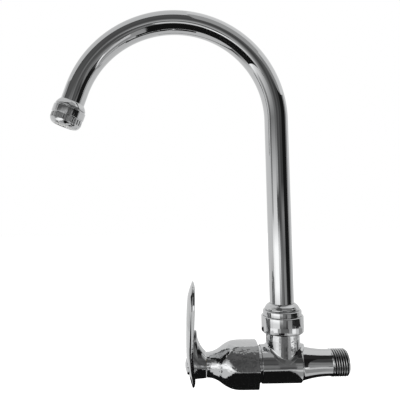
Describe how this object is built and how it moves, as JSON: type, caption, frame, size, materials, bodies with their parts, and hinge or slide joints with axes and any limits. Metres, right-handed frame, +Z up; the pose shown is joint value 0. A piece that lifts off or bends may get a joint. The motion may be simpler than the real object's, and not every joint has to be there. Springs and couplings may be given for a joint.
{
  "type": "commercial wall faucet",
  "caption": "Wall-mounted faucet: tee body on a threaded inlet, quarter-turn lever valve on the side, and a swivelling swan-neck spout with an aerator nozzle.",
  "frame": {"origin": "centre of the inlet's end face, on the axis of the inlet thread", "axes": "+X along the inlet into the wall, +Z up the spout, Y across, so that +Y is on the far side in the picture"},
  "size_m": [0.235, 0.04, 0.3066],
  "materials": {
    "polished_chrome": "polished chrome plate on brass",
    "turned_brass": "bare turned brass",
    "stainless_steel": "plain stainless steel",
    "black_rubber": "moulded nitrile rubber",
    "white_plastic": "moulded acetal",
    "ceramic": null
  },
  "bodies": {
    "body": {"tee_body": "polished_chrome", "bonnet": "polished_chrome", "bonnet_o_ring": "black_rubber", "spindle_bush": "white_plastic", "cartridge_body": "turned_brass", "cartridge_flange_seal": "black_rubber", "fixed_disc": "ceramic", "seat_seal": "black_rubber", "swivel_nut": "polished_chrome", "spout_guide_bush": "white_plastic", "lower_slip_washer": "white_plastic", "upper_slip_washer": "white_plastic"},
    "lever": {"moving_disc": "ceramic", "cartridge_spindle": "turned_brass", "spindle_o_rings": "black_rubber", "spindle_circlip": "stainless_steel", "friction_washer": "white_plastic", "lever_handle": "polished_chrome", "lever_screw": "stainless_steel", "lever_screw_washer": "stainless_steel", "index_cap": "polished_chrome"},
    "spout": {"spout_tube": "polished_chrome", "spout_spigot": "turned_brass", "spout_o_rings": "black_rubber", "nozzle_collar": "polished_chrome", "aerator_shell": "polished_chrome", "aerator_washer": "black_rubber", "jet_plate": "white_plastic", "aerator_screen": "stainless_steel", "flow_straightener": "white_plastic"}
  },
  "joints": [
    {"name": "lever_turn", "type": "hinge", "parent": "body", "child": "lever", "pos_m": [0, 0, 0], "axis": [1, 0, 0], "range_deg": [-90, 0]},
    {"name": "spout_swivel", "type": "hinge", "parent": "body", "child": "spout", "pos_m": [-0.0495, 0, 0], "axis": [0, 0, 1], "continuous": true}
  ]
}
